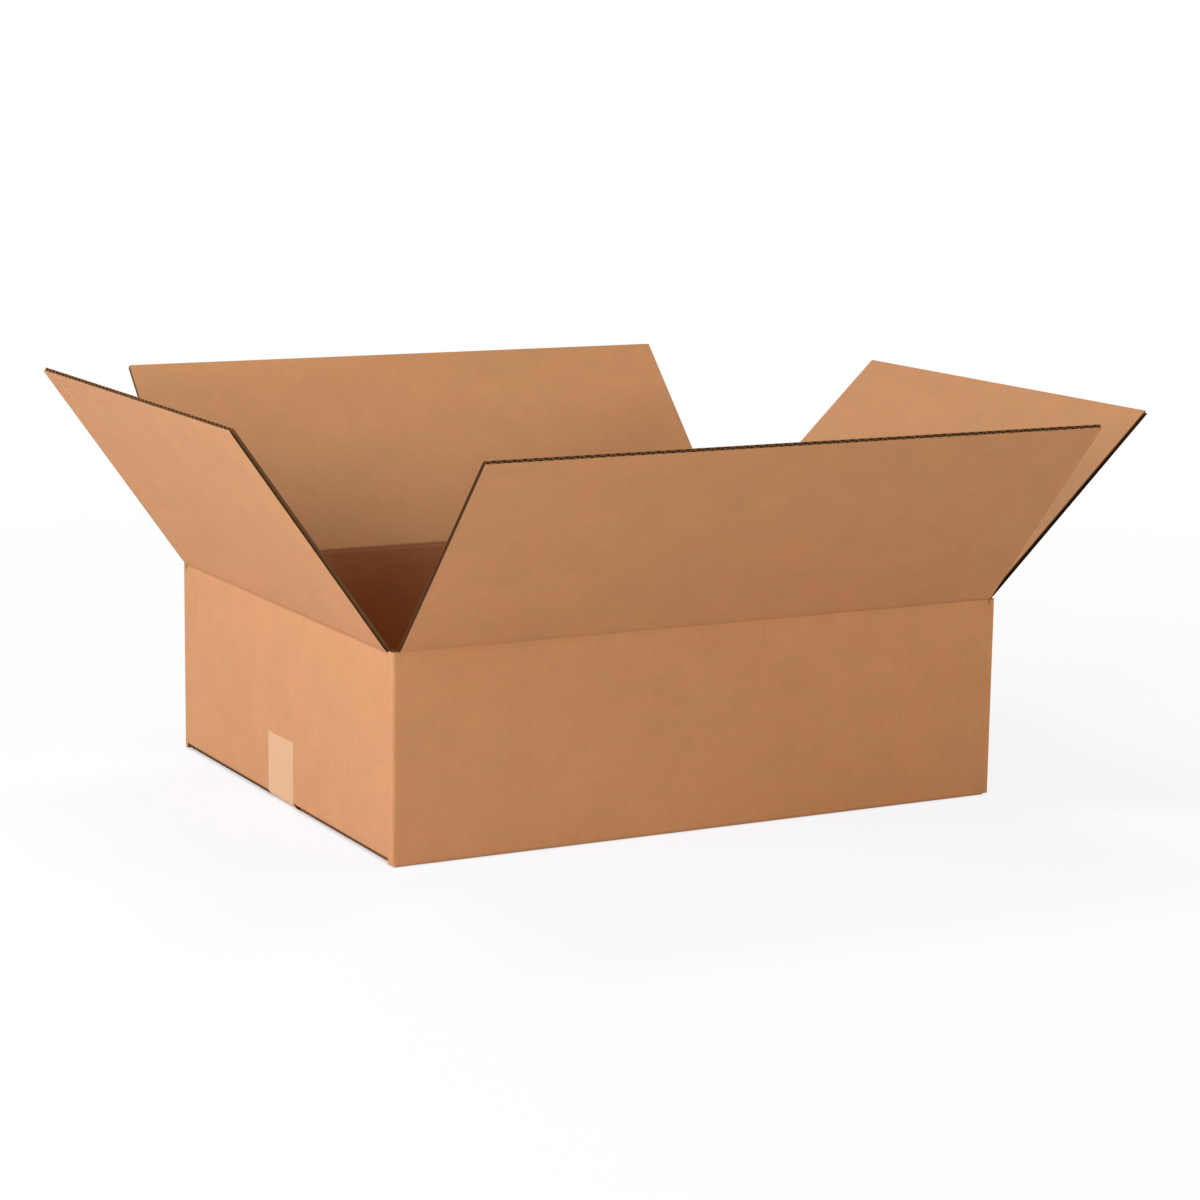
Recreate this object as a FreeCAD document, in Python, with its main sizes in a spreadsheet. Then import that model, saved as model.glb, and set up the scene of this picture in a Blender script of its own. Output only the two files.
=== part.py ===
import FreeCAD, Part

import os

import Sketcher
from FreeCAD import Vector

# Open cardboard box: a regular slotted carton of single-wall corrugated board.
# Frame: millimetres, +Z up, origin at the centre of the underside.
# The long walls run along X, the front is at -Y, and the end walls are at -X and +X.

doc = FreeCAD.newDocument("OpenCarton")
sizes = doc.addObject("Spreadsheet::Sheet", "Sizes")

# Driving dimensions, in millimetres and degrees.
DRIVING = [
    ("inside_length", "508", "inside, end wall to end wall"),
    ("inside_width", "406.4", "inside, long wall to long wall"),
    ("inside_height", "143.5", "floor to the closed end flaps"),
    ("board", "4.0", "thickness of the corrugated board"),
    ("liner", "0.35", "thickness of each flat facing of the board"),
    ("medium", "0.3", "thickness of the fluted sheet between the facings"),
    ("flute_pitch", "7.8", "nominal width of one flute"),
    ("flute_crown", "1.6", "flat width of a channel at the crown of a flute"),
    ("layer_gap", "0.3", "air between two flaps that lie on each other"),
    ("closing_gap", "1.6", "between the long top flaps when they are closed"),
    ("seam_gap", "3.0", "between the two outer bottom flaps"),
    ("major_side_gap", "2.0", "side edge of a long flap to the inner face of the end wall"),
    ("minor_side_gap", "4.0", "side edge of an end flap to the inner face of the long wall"),
    ("slot_clearance", "0.4", "side edge of a top flap to the wall beside its score"),
    ("hinge_depth", "1.2", "score line to the nearer face of the board"),
    ("score_relief", "0.2", "score line to the crushed edge on each side of it"),
    ("outer_taper", "20", "slope of the crushed board on the outer face"),
    ("inner_taper", "38", "slope of the crushed board on the inner face"),
    ("crush_margin", "2.0", "crushed board to the start of the open flutes"),
    ("fold_radius", "3.0", "outer radius of a folded corner"),
    ("corner_foot", "1.5", "slot ends of the bottom flaps above the floor"),
    ("joint_radius", "1.4", "outer radius where the back wall turns in to the glued tab"),
    ("tab_width", "35", "width of the glued tab"),
    ("tab_bevel", "8", "rise of the cut at each end of the glued tab"),
    ("tab_clearance", "3.0", "tab to the flaps above and below it"),
    ("raw_edge_gap", "0.2", "end wall's cut edge short of that fold"),
    ("tape_width", "50", "width of the packing tape"),
    ("tape_thickness", "0.12", "thickness of the packing tape"),
    ("tape_leg", "54", "top of the tape on each end wall"),
    ("tape_bridge", "1.1", "tape past the bottom flap's side edge before it rises"),
    ("tape_rise", "0.9", "tape above the inner flap's underside where it meets the wall"),
    ("front_angle", "41.5", "front flap outward from upright"),
    ("back_angle", "44.5", "back flap outward from upright"),
    ("left_angle", "35.7", "left flap outward from upright"),
    ("right_angle", "46.2", "right flap outward from upright"),
]

# Sizes and places that follow from the driving dimensions.
DERIVED = [
    ("half_inner_length", "=inside_length / 2"),
    ("half_inner_width", "=inside_width / 2"),
    ("half_length", "=half_inner_length + board"),
    ("half_width", "=half_inner_width + board"),
    ("fold_x", "=half_length - fold_radius"),
    ("fold_y", "=half_width - fold_radius"),
    ("inner_layer", "=board + layer_gap"),
    ("floor_top", "=inner_layer + board"),
    ("lower_fold", "=inner_layer + fold_radius"),
    ("seam_half", "=seam_gap / 2"),
    ("inner_flap_edge", "=half_length - (half_width - seam_half)"),
    ("hinge_far", "=board - hinge_depth"),
    # The long flaps close over the end flaps, so their score is one board higher
    # than the end flaps' score, less what the two off-centre score lines give.
    ("minor_score", "=floor_top + inside_height + hinge_far"),
    ("major_score", "=minor_score + hinge_depth + layer_gap + hinge_depth"),
    ("major_hinge_y", "=half_inner_width + hinge_depth"),
    ("flap_length", "=major_hinge_y - closing_gap / 2"),
    ("minor_hinge_x", "=half_inner_length + hinge_far"),
    ("tip_in", "=score_relief * tan(inner_taper * 1deg)"),
    ("tip_out", "=score_relief * tan(outer_taper * 1deg)"),
    ("major_taper_out", "=hinge_far / tan(outer_taper * 1deg)"),
    ("major_taper_in", "=hinge_depth / tan(inner_taper * 1deg)"),
    ("minor_taper_out", "=hinge_depth / tan(outer_taper * 1deg)"),
    ("minor_taper_in", "=hinge_far / tan(inner_taper * 1deg)"),
    ("major_wall_edge", "=major_score - score_relief"),
    ("major_wall_out", "=major_score - major_taper_out"),
    ("major_wall_in", "=major_score - major_taper_in"),
    ("major_land_out", "=major_hinge_y + tip_out"),
    ("major_land_in", "=major_hinge_y - tip_in"),
    ("minor_wall_edge", "=minor_score - score_relief"),
    ("minor_wall_out", "=minor_score - minor_taper_out"),
    ("minor_wall_in", "=minor_score - minor_taper_in"),
    ("minor_land_out", "=minor_hinge_x + tip_out"),
    ("minor_land_in", "=minor_hinge_x - tip_in"),
    ("major_half", "=half_inner_length - major_side_gap"),
    ("minor_half", "=half_inner_width - minor_side_gap"),
    ("panel_half_length", "=major_half + slot_clearance"),
    ("panel_half_width", "=minor_half + slot_clearance"),
    ("column_height", "=major_wall_edge - corner_foot"),
    ("joint_fold_x", "=half_inner_length - joint_radius"),
    ("joint_fold_y", "=half_width - joint_radius"),
    ("raw_edge", "=half_width - joint_radius - raw_edge_gap"),
    ("tab_inner", "=half_inner_length - board"),
    ("tab_edge", "=half_inner_width - tab_width"),
    ("tab_bottom", "=floor_top + tab_clearance"),
    ("tab_top", "=floor_top + inside_height - tab_clearance"),
    ("tab_bottom_cut", "=tab_bottom + tab_bevel"),
    ("tab_top_cut", "=tab_top - tab_bevel"),
    ("tape_half", "=tape_width / 2"),
    ("tape_out", "=half_length + tape_thickness"),
    ("tape_turn_x", "=panel_half_length + tape_bridge"),
    ("tape_turn_z", "=inner_layer + tape_rise"),
    ("tape_turn_x_in", "=tape_turn_x - tape_thickness / 2"),
    ("tape_turn_z_in", "=tape_turn_z + tape_thickness / 2"),
    ("major_flutes", "=round(2 * major_half / flute_pitch)"),
    ("minor_flutes", "=round(2 * minor_half / flute_pitch)"),
    ("major_pitch", "=2 * major_half / major_flutes"),
    ("minor_pitch", "=2 * minor_half / minor_flutes"),
    ("major_flute_start", "=major_taper_out + crush_margin"),
    ("minor_flute_start", "=minor_taper_in + crush_margin"),
    ("channel_depth", "=board - 2 * liner - medium"),
]


def fill_sheet():
    for row, (alias, text, note) in enumerate(DRIVING, start=1):
        sizes.set("A%d" % row, note)
        sizes.set("B%d" % row, text)
        sizes.setAlias("B%d" % row, alias)
    for row, (alias, formula) in enumerate(DERIVED, start=len(DRIVING) + 1):
        sizes.set("B%d" % row, formula)
        sizes.setAlias("B%d" % row, alias)
    doc.recompute()


def number(place):
    # The value of a place: a sheet alias, with or without a minus sign, or "0".
    if place == "0":
        return 0.0
    if place.startswith("-"):
        return -float(getattr(sizes, place[1:]))
    return float(getattr(sizes, place))


def bound(place):
    # The expression that ties a property to that place.
    if place.startswith("-"):
        return "-Sizes." + place[1:]
    return "Sizes." + place


def origin_feature(body, role):
    return [feature for feature in body.Origin.OriginFeatures if feature.Role == role][0]


def new_body(name):
    body = doc.addObject("PartDesign::Body", name)
    body.Label = name
    return body


def new_sketch(body, name, plane, lift="0"):
    sketch = body.newObject("Sketcher::SketchObject", name)
    sketch.AttachmentSupport = [(origin_feature(body, plane), "")]
    sketch.MapMode = "FlatFace"
    if lift != "0":
        sketch.setExpression("AttachmentOffset.Base.z", bound(lift))
    return sketch


def pin_coordinate(sketch, kind, edge, end, place):
    if place == "0":
        axis = -2 if kind == "DistanceX" else -1
        sketch.addConstraint(Sketcher.Constraint("PointOnObject", edge, end, axis))
        return
    index = sketch.addConstraint(Sketcher.Constraint(kind, edge, end, number(place)))
    sketch.setExpression("Constraints[%d]" % index, bound(place))


def draw_outline(sketch, corners, arcs=None):
    # A closed outline through corners, each a pair of places. arcs gives the centre of
    # each quarter round by the number of its first corner.
    arcs = arcs or {}
    count = len(corners)
    points = [Vector(number(x), number(y), 0) for x, y in corners]
    ends = []
    for i in range(count):
        start, stop = points[i], points[(i + 1) % count]
        if i in arcs:
            # A sketch draws every arc anticlockwise, so a clockwise one starts at its end.
            centre = Vector(number(arcs[i][0]), number(arcs[i][1]), 0)
            outward = (start + stop) / 2 - centre
            middle = centre + outward.normalize() * (start - centre).Length
            clockwise = (start - centre).cross(stop - centre).z < 0
            if clockwise:
                sketch.addGeometry(Part.Arc(stop, middle, start))
                ends.append((2, 1))
            else:
                sketch.addGeometry(Part.Arc(start, middle, stop))
                ends.append((1, 2))
        else:
            sketch.addGeometry(Part.LineSegment(start, stop))
            ends.append((1, 2))
    for i in range(count):
        following = (i + 1) % count
        sketch.addConstraint(
            Sketcher.Constraint("Coincident", i, ends[i][1], following, ends[following][0]))
    for i, (x, y) in enumerate(corners):
        centre = arcs.get(i - 1)
        if centre is None or centre[0] == x:
            pin_coordinate(sketch, "DistanceX", i, ends[i][0], x)
        if centre is None or centre[1] == y:
            pin_coordinate(sketch, "DistanceY", i, ends[i][0], y)
    for i, (x, y) in arcs.items():
        pin_coordinate(sketch, "DistanceX", i, 3, x)
        pin_coordinate(sketch, "DistanceY", i, 3, y)


def add_pad(body, name, sketch, length, midplane=False):
    pad = body.newObject("PartDesign::Pad", name)
    pad.Profile = sketch
    pad.Midplane = midplane
    pad.Refine = True
    pad.setExpression("Length", length)
    return pad


def add_mirror(body, name, feature, plane):
    mirror = body.newObject("PartDesign::Mirrored", name)
    mirror.Originals = [feature]
    mirror.Refine = True
    mirror.MirrorPlane = (origin_feature(body, plane), [""])
    body.Tip = mirror
    return mirror


def add_long_panels(body):
    # Front wall with its bottom flap, from the crushed score down, round the bottom fold
    # and in to the seam; the back wall is its mirror image.
    sketch = new_sketch(body, "long_panel_section", "YZ_Plane")
    draw_outline(sketch, [
        ("-half_width", "major_wall_out"),
        ("-half_width", "fold_radius"),
        ("-fold_y", "0"),
        ("-seam_half", "0"),
        ("-seam_half", "board"),
        ("-half_inner_width", "board"),
        ("-half_inner_width", "major_wall_in"),
        ("-major_land_in", "major_wall_edge"),
        ("-major_land_out", "major_wall_edge"),
    ], {1: ("-fold_y", "fold_radius")})
    pad = add_pad(body, "long_panel", sketch, "2 * Sizes.panel_half_length", True)
    add_mirror(body, "long_panels", pad, "XZ_Plane")


def add_end_panels(body):
    # Left wall with its bottom flap, which lies on the long panels' flaps; the right wall
    # is its mirror image.
    sketch = new_sketch(body, "end_panel_section", "XZ_Plane")
    draw_outline(sketch, [
        ("-half_length", "minor_wall_out"),
        ("-half_length", "lower_fold"),
        ("-fold_x", "inner_layer"),
        ("-inner_flap_edge", "inner_layer"),
        ("-inner_flap_edge", "floor_top"),
        ("-half_inner_length", "floor_top"),
        ("-half_inner_length", "minor_wall_in"),
        ("-minor_land_in", "minor_wall_edge"),
        ("-minor_land_out", "minor_wall_edge"),
    ], {1: ("-fold_x", "lower_fold")})
    pad = add_pad(body, "end_panel", sketch, "2 * Sizes.panel_half_width", True)
    add_mirror(body, "end_panels", pad, "YZ_Plane")


def add_folded_corners(body):
    # The upright folds between the walls stand between the ends of the slots.
    for name, sx, sy in (("front_left", "-", "-"), ("front_right", "", "-"), ("back_left", "-", "")):
        sketch = new_sketch(body, name + "_corner_section", "XY_Plane", "corner_foot")
        draw_outline(sketch, [
            (sx + "panel_half_length", sy + "half_width"),
            (sx + "fold_x", sy + "half_width"),
            (sx + "half_length", sy + "fold_y"),
            (sx + "half_length", sy + "panel_half_width"),
            (sx + "half_inner_length", sy + "panel_half_width"),
            (sx + "half_inner_length", sy + "half_inner_width"),
            (sx + "panel_half_length", sy + "half_inner_width"),
        ], {1: (sx + "fold_x", sy + "fold_y")})
        add_pad(body, name + "_corner", sketch, "Sizes.column_height")


def add_glued_corner(body):
    # At the back right the long wall turns in to the tab, and the end wall's cut edge
    # stands against it.
    sketch = new_sketch(body, "glued_corner_section", "XY_Plane", "corner_foot")
    draw_outline(sketch, [
        ("panel_half_length", "half_width"),
        ("joint_fold_x", "half_width"),
        ("half_inner_length", "joint_fold_y"),
        ("half_inner_length", "raw_edge"),
        ("half_length", "raw_edge"),
        ("half_length", "panel_half_width"),
        ("half_inner_length", "panel_half_width"),
        ("half_inner_length", "half_inner_width"),
        ("panel_half_length", "half_inner_width"),
    ], {1: ("joint_fold_x", "joint_fold_y")})
    add_pad(body, "glued_corner", sketch, "Sizes.column_height")
    tab = new_sketch(body, "glue_tab_section", "YZ_Plane", "tab_inner")
    draw_outline(tab, [
        ("half_inner_width", "tab_bottom"),
        ("half_inner_width", "tab_top"),
        ("tab_edge", "tab_top_cut"),
        ("tab_edge", "tab_bottom_cut"),
    ])
    add_pad(body, "glue_tab", tab, "Sizes.board")


def add_tape_seat(body):
    # The tape is pressed into the outer bottom flaps along their seam.
    sketch = new_sketch(body, "tape_seat_outline", "XY_Plane")
    draw_outline(sketch, [
        ("-panel_half_length", "-tape_half"),
        ("panel_half_length", "-tape_half"),
        ("panel_half_length", "tape_half"),
        ("-panel_half_length", "tape_half"),
    ])
    seat = body.newObject("PartDesign::Pocket", "tape_seat")
    seat.Profile = sketch
    seat.Reversed = True
    seat.Refine = True
    seat.setExpression("Length", "Sizes.tape_thickness")
    body.Tip = seat


def make_carton_body():
    body = new_body("carton_body")
    add_long_panels(body)
    add_end_panels(body)
    add_folded_corners(body)
    add_glued_corner(body)
    add_tape_seat(body)
    return body


def make_bottom_tape():
    # One strip: up the left wall, along the seam and up the right wall. It bridges the
    # step where the end walls stand out past the outer bottom flaps.
    body = new_body("bottom_tape")
    sketch = new_sketch(body, "tape_section", "XZ_Plane")
    draw_outline(sketch, [
        ("-tape_out", "tape_leg"),
        ("-tape_out", "tape_turn_z"),
        ("-tape_turn_x", "0"),
        ("tape_turn_x", "0"),
        ("tape_out", "tape_turn_z"),
        ("tape_out", "tape_leg"),
        ("half_length", "tape_leg"),
        ("half_length", "tape_turn_z_in"),
        ("tape_turn_x_in", "tape_thickness"),
        ("-tape_turn_x_in", "tape_thickness"),
        ("-half_length", "tape_turn_z_in"),
        ("-half_length", "tape_leg"),
    ])
    add_pad(body, "tape_strip", sketch, "Sizes.tape_width", True)
    return body


def draw_channel(sketch, middle, base_face, side, pitch):
    # One open channel of the flutes: wide against a facing, narrow under the crown.
    # middle and base_face are expressions; side is 1 where it opens away from the hinge's
    # inner face and -1 where it opens towards it.
    first = sketch.GeometryCount
    rough = [(-2, 0), (2, 0), (1, side), (-1, side)]
    for i in range(4):
        start, stop = rough[i], rough[(i + 1) % 4]
        sketch.addGeometry(Part.LineSegment(Vector(*start, 0), Vector(*stop, 0)))
    for i in range(4):
        following = first + (i + 1) % 4
        sketch.addConstraint(Sketcher.Constraint("Coincident", first + i, 2, following, 1))
    foot = "(Sizes.%s / 2 - Sizes.flute_crown / 2 - Sizes.medium * 2 / 3)" % pitch
    crown = "Sizes.flute_crown / 2"
    top_face = "%s + %d * Sizes.channel_depth" % (base_face, side)
    places = [
        ("%s - %s" % (middle, foot), base_face),
        ("%s + %s" % (middle, foot), base_face),
        ("%s + %s" % (middle, crown), top_face),
        ("%s - %s" % (middle, crown), top_face),
    ]
    for i, (x, y) in enumerate(places):
        for kind, rough_value, place in (("DistanceX", rough[i][0], x), ("DistanceY", rough[i][1], y)):
            index = sketch.addConstraint(Sketcher.Constraint(kind, first + i, 1, rough_value))
            sketch.setExpression("Constraints[%d]" % index, place)


def make_flap(name, kind, near, far, yaw, angle, hinge_x, hinge_y):
    # A top flap in its own frame: the score line along X at the origin, the board rising
    # along +Z, and its outer face at -Y. near and far are the depths of the inner and the
    # outer face from the score line. The flutes run from the crushed score to the outer
    # edge, where they lie open, and the side edges cut through a channel.
    body = new_body(name)
    section = new_sketch(body, name + "_section", "YZ_Plane")
    draw_outline(section, [
        ("-" + far, kind + "_taper_out"),
        ("-tip_out", "score_relief"),
        ("tip_in", "score_relief"),
        (near, kind + "_taper_in"),
        (near, "flap_length"),
        ("-" + far, "flap_length"),
    ])
    add_pad(body, name + "_board", section, "2 * Sizes.%s_half" % kind, True)

    flutes = new_sketch(body, name + "_flute_section", "XY_Plane", "flap_length")
    pitch = kind + "_pitch"
    first_crown = "-Sizes.%s_half" % kind
    next_crown = "%s + Sizes.%s / 2" % (first_crown, pitch)
    draw_channel(flutes, first_crown, "Sizes.%s - Sizes.liner" % near, -1, pitch)
    draw_channel(flutes, next_crown, "Sizes.liner - Sizes.%s" % far, 1, pitch)
    pocket = body.newObject("PartDesign::Pocket", name + "_flute")
    pocket.Profile = flutes
    pocket.setExpression("Length", "Sizes.flap_length - Sizes.%s_flute_start" % kind)
    pattern = body.newObject("PartDesign::LinearPattern", name + "_flutes")
    pattern.Originals = [pocket]
    pattern.Direction = (origin_feature(body, "X_Axis"), [""])
    pattern.Mode = "Spacing"
    pattern.setExpression("Offset", "Sizes." + pitch)
    pattern.setExpression("Occurrences", "Sizes.%s_flutes + 1" % kind)
    body.Tip = pattern

    body.setExpression("Placement", "placement(vector(%s; %s; Sizes.%s_score); rotation(%d; 0; Sizes.%s))"
                       % (hinge_x, hinge_y, kind, yaw, angle))
    return body


def make_flaps():
    # The long flaps bend near their inner face and the end flaps near their outer face,
    # so that the long flaps close over the end flaps with the least step between scores.
    long_side = ("major", "hinge_depth", "hinge_far")
    end_side = ("minor", "hinge_far", "hinge_depth")
    return [
        make_flap("front_flap", *long_side, 0, "front_angle", "0", "-Sizes.major_hinge_y"),
        make_flap("back_flap", *long_side, 180, "back_angle", "0", "Sizes.major_hinge_y"),
        make_flap("left_flap", *end_side, -90, "left_angle", "-Sizes.minor_hinge_x", "0"),
        make_flap("right_flap", *end_side, 90, "right_angle", "Sizes.minor_hinge_x", "0"),
    ]


def check_document(pieces):
    for thing in doc.Objects:
        if "Invalid" in thing.State or "Error" in thing.State:
            raise RuntimeError("%s failed: %s" % (thing.Name, thing.State))
    for piece in pieces:
        shape = piece.Shape
        if shape.isNull() or not shape.isValid():
            raise RuntimeError("%s has no valid shape" % piece.Label)
        if len(shape.Solids) != 1:
            raise RuntimeError("%s has %d solids" % (piece.Label, len(shape.Solids)))
        print("%-12s %9.0f mm3, %d faces" % (piece.Label, shape.Volume, len(shape.Faces)))


fill_sheet()
pieces = [make_carton_body(), make_bottom_tape()] + make_flaps()
doc.recompute()
check_document(pieces)
os.makedirs("parts", exist_ok=True)
for piece in pieces:
    piece.Shape.exportStep("parts/%s.step" % piece.Label)
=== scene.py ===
import math
from collections import namedtuple

import bpy
import numpy as np
from mathutils import Matrix, Vector


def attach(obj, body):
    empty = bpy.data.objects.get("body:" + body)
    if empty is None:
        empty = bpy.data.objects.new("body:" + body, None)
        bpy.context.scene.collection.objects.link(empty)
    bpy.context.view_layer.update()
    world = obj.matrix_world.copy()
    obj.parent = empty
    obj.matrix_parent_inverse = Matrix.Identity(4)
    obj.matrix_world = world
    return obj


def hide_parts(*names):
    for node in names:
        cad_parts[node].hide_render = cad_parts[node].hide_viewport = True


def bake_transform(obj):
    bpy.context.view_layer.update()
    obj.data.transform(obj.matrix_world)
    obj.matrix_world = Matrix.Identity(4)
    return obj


# The looks of the open carton. It is modelled as the real blank is made: one sheet of
# corrugated board, two flat liners with a fluted medium between them, folded into place.
# Every point of the sheet has a place (u, v, n) on the blank, in millimetres: u runs round
# the four walls across the flutes, v runs up along the flutes and n goes through the board,
# from the inner face at 0 to the outer face at 4. The same u and v are the UV map "sheet".

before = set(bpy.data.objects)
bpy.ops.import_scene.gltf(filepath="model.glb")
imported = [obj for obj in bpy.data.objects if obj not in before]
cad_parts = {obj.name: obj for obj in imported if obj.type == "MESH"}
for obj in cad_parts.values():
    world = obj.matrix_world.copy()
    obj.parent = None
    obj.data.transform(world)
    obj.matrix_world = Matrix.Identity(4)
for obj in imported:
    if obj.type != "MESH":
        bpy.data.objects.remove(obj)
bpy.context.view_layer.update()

MM = 0.001

# The board, with the same sizes as in the CAD source.
BOARD = 4.0
LINER = 0.35
MEDIUM = 0.30
PITCH = 7.8
HALF_X, HALF_Y = 258.0, 207.2    # outer faces of the end walls and of the long walls
FOLD, INNER_FOLD = 3.0, 0.8      # outer and inner radius of a fold
ARC = FOLD * math.pi / 2         # length of a fold on the outer face
PANEL_X, PANEL_Y = 252.4, 199.6  # half of the flat part of a long wall and of an end wall
FLAP_LENGTH = 203.6
BAND = 8.0                       # how far a crease piece goes to each side of its score
COLUMN_LOW, COLUMN_TOP = 1.5, 157.1  # foot and top of the corner columns

# The glued corner: the right wall's raw edge, the fold of the tab and the tab itself.
RAW_EDGE = 205.6
JOINT_RADIUS, JOINT_ARC = 1.4, 2.2   # the fold's radius, and its length on the outer face
JOINT_REACH = 257.4                  # from the back wall's middle to the root of the tab, in u
TAB_FACE, TAB_ROOT, TAB_EDGE = HALF_X - BOARD, HALF_Y - BOARD, 168.2
TAB_LENGTH = TAB_ROOT - TAB_EDGE
TAB_LOW, TAB_TOP = 11.3, 148.8
TAB_CUT = 8.0                    # how much its slanted cuts take off above and below
TAB_SPAN = 150.0                 # the tab's height on the blank's texture

# The tape: half its width, its thickness, and how deep it is pressed into the board.
TAPE_HALF, TAPE_THICK, TAPE_SEAT = 25.0, 0.11, 0.13
TAPE_ROOM = 0.4                  # how far the pressed strip goes past the tape's side
SEAT_EDGE = 0.15                 # the width of the slope at the strip's side
TAPE_CORNERS = [(0, 0), (253.5, 0), (258.12, 5.2), (258.12, 54)]  # its line in x and z
TAPE_BEND = 1.6                  # how far before and after a corner it bends
TAPE_V = 900.0                   # the tape's middle on the blank's texture, clear of the board
TOOTH_WIDTH, TOOTH_DEPTH, TOOTH_ROOM = 1.5, 0.9, 3.0  # teeth of the torn end
SWING, SWING_LENGTH = 0.35, 9.0                       # slow swing of the torn end

# How uneven the paper is, in millimetres: bows of the panels, pinched cuts, pressed scores.
WAVES, WAVE_LENGTHS = 7, (70, 190)
WALL_SEED, FLAP_SEED, INNER_SEED, OUTER_SEED = 5, 11, 21, 22
WALL_BOW, FLAP_BOW = 0.32, 0.75
TIP_PINCH, BOTTOM_PINCH, CUT_WIDTH = 0.24, 0.2, 1.1   # at the cut ends of the flaps
SIDE_PINCH, SIDE_WIDTH = 0.16, 0.8                    # at the cut sides of the top flaps
TAB_PINCH, TAB_WIDTH = 0.8, 2.5                       # at the cut edge of the tab
INNER_GROOVE, OUTER_GROOVE = (0.5, 1.1), (0.85, 3.5)  # depth and width of a score's groove
INNER_WAVER, OUTER_WAVER = (0.25, 3), (0.22, 2.5)     # share by which it varies, and how fast

# Where the walls' middles, the starts of the corner arcs and the tab's root lie, in u.
U_RIGHT = RAW_EDGE
U_ARC_1 = RAW_EDGE + HALF_Y - FOLD
U_FRONT = U_ARC_1 + ARC + HALF_X - FOLD
U_ARC_2 = U_FRONT + HALF_X - FOLD
U_LEFT = U_ARC_2 + ARC + HALF_Y - FOLD
U_ARC_3 = U_LEFT + HALF_Y - FOLD
U_BACK = U_ARC_3 + ARC + HALF_X - FOLD
U_END = U_BACK + JOINT_REACH

# middle in u, yaw of the outward direction, the flap's rest angle, half of the panel and of
# the flap along the wall, outer face, score height, score to the inner face, foot of the
# wall, place where the bottom flap ends, and height where the bottom piece takes over
Wall = namedtuple("Wall", "middle yaw angle panel flap face score depth foot end joint")
LONG = (PANEL_X, 252.0, HALF_Y, 157.3, 1.2, 0.0, 1.5, 12.0)
SHORT = (PANEL_Y, 199.2, HALF_X, 154.6, 2.8, 4.3, 52.3, 16.0)
WALLS = {
    "front": Wall(U_FRONT, -90.0, 41.5, *LONG),
    "back": Wall(U_BACK, 90.0, 44.5, *LONG),
    "left": Wall(U_LEFT, 180.0, 35.7, *SHORT),
    "right": Wall(U_RIGHT, 0.0, 46.2, *SHORT),
}

# Steps of the meshes: round the walls, up a flap and across the tape, and parts of a flute
# for the medium. A span with NO_STEP has the rows that are named for it, and one at v 0.
SHEET_STEP, FLAP_STEP, TAPE_STEP, NO_STEP = 11.0, 15.0, 0.75, 1000.0
WALL_FLUTE, TAB_FLUTE, FLAP_FLUTE, CREASE_FLUTE = PITCH / 9, PITCH / 12, PITCH / 14, PITCH / 8

# Rows of the meshes: heights on the walls, distances from the score on flaps and creases,
# heights on the tab, and distances from the middle of the tape. Those with NEAR are distances
# from a score, a cut edge or the tape's end, where the shape needs more rows.
WALL_ROWS = [COLUMN_LOW, 12, 16, 30, 50, 70, 90, 110, 130, 146.6, 149.3, COLUMN_TOP]
MEDIUM_ROWS = [COLUMN_LOW, 12, 16, 50, 90, 130, 146.6, 149.3, COLUMN_TOP]
FLAP_ROWS = [BAND, 40, 90, 150, FLAP_LENGTH - 4, FLAP_LENGTH - 1, FLAP_LENGTH]
CREASE_ROWS = [-BAND, -4, -2.1, -1, 0, 1, 2.1, 4, BAND]
TAB_ROWS = [0.0, 40, 80, 120, TAB_SPAN]
TAPE_ROWS = [0, 60, 120, 180, 240]
NEAR_SCORE = [0.5, 1.0, 1.5, 2.1, 2.7, 3.4, 4.2, 5.2, 6.5]
NEAR_TIP = [0.6, 1.3, 2.6, 6]
NEAR_SIDE = [0.5, 1.2, 2.5, 6]
NEAR_TAPE_END = [40, 30, 20, 10, 3, 2, 1, 0]

SAME_POINT = 0.001               # points of a layer closer than this are merged
SHARP_ANGLE = math.radians(48)   # edges that turn more than this are drawn sharp
LINING_SHIFT = 2.0               # how far aside the inner liner lies on the texture, in metres

# What a face of the board shows: liner, core (painted dark as the shade in the flute channels, also on the
# cuts along the flutes), or a cut across the flutes.
SKIN, SHADED_CORE, CUT = 0, 1, 2


def steps(low, high, step, extra=()):
    """Sorted places from low to high: both ends, every step of the blank, and extra ones,
    without those that are closer than 0.04 to the one before."""
    inner = np.arange(math.ceil(low / step), math.floor(high / step) + 1) * step
    places = np.concatenate([[low, high], inner, np.asarray(extra, float)])
    places = np.unique(np.round(places[(places >= low) & (places <= high)], 5))
    keep = np.concatenate([[True], np.diff(places) > 0.04])
    keep[-1] = True
    return places[keep]


def waves(u, v, seed):
    """A smooth field of about -1 to 1 over the blank, the same in every run."""
    rng = np.random.default_rng(seed)
    field = np.zeros(np.broadcast(u, v).shape)
    for _ in range(WAVES):
        angle, phase = rng.uniform(0, math.tau, 2)
        length = rng.uniform(*WAVE_LENGTHS)
        run = u * math.cos(angle) + v * math.sin(angle)
        field = field + np.sin(math.tau * run / length + phase)
    return field / 4


def fade(x, low, high):
    """0 below low, 1 above high, and a smooth rise between them."""
    t = np.clip((x - low) / (high - low), 0, 1)
    return t * t * (3 - 2 * t)


def dent(s, depth, width):
    return depth * np.exp(-((s / width) ** 2))


def everywhere(u, v):
    return np.ones((len(u) - 1, len(v) - 1), bool)


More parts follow.
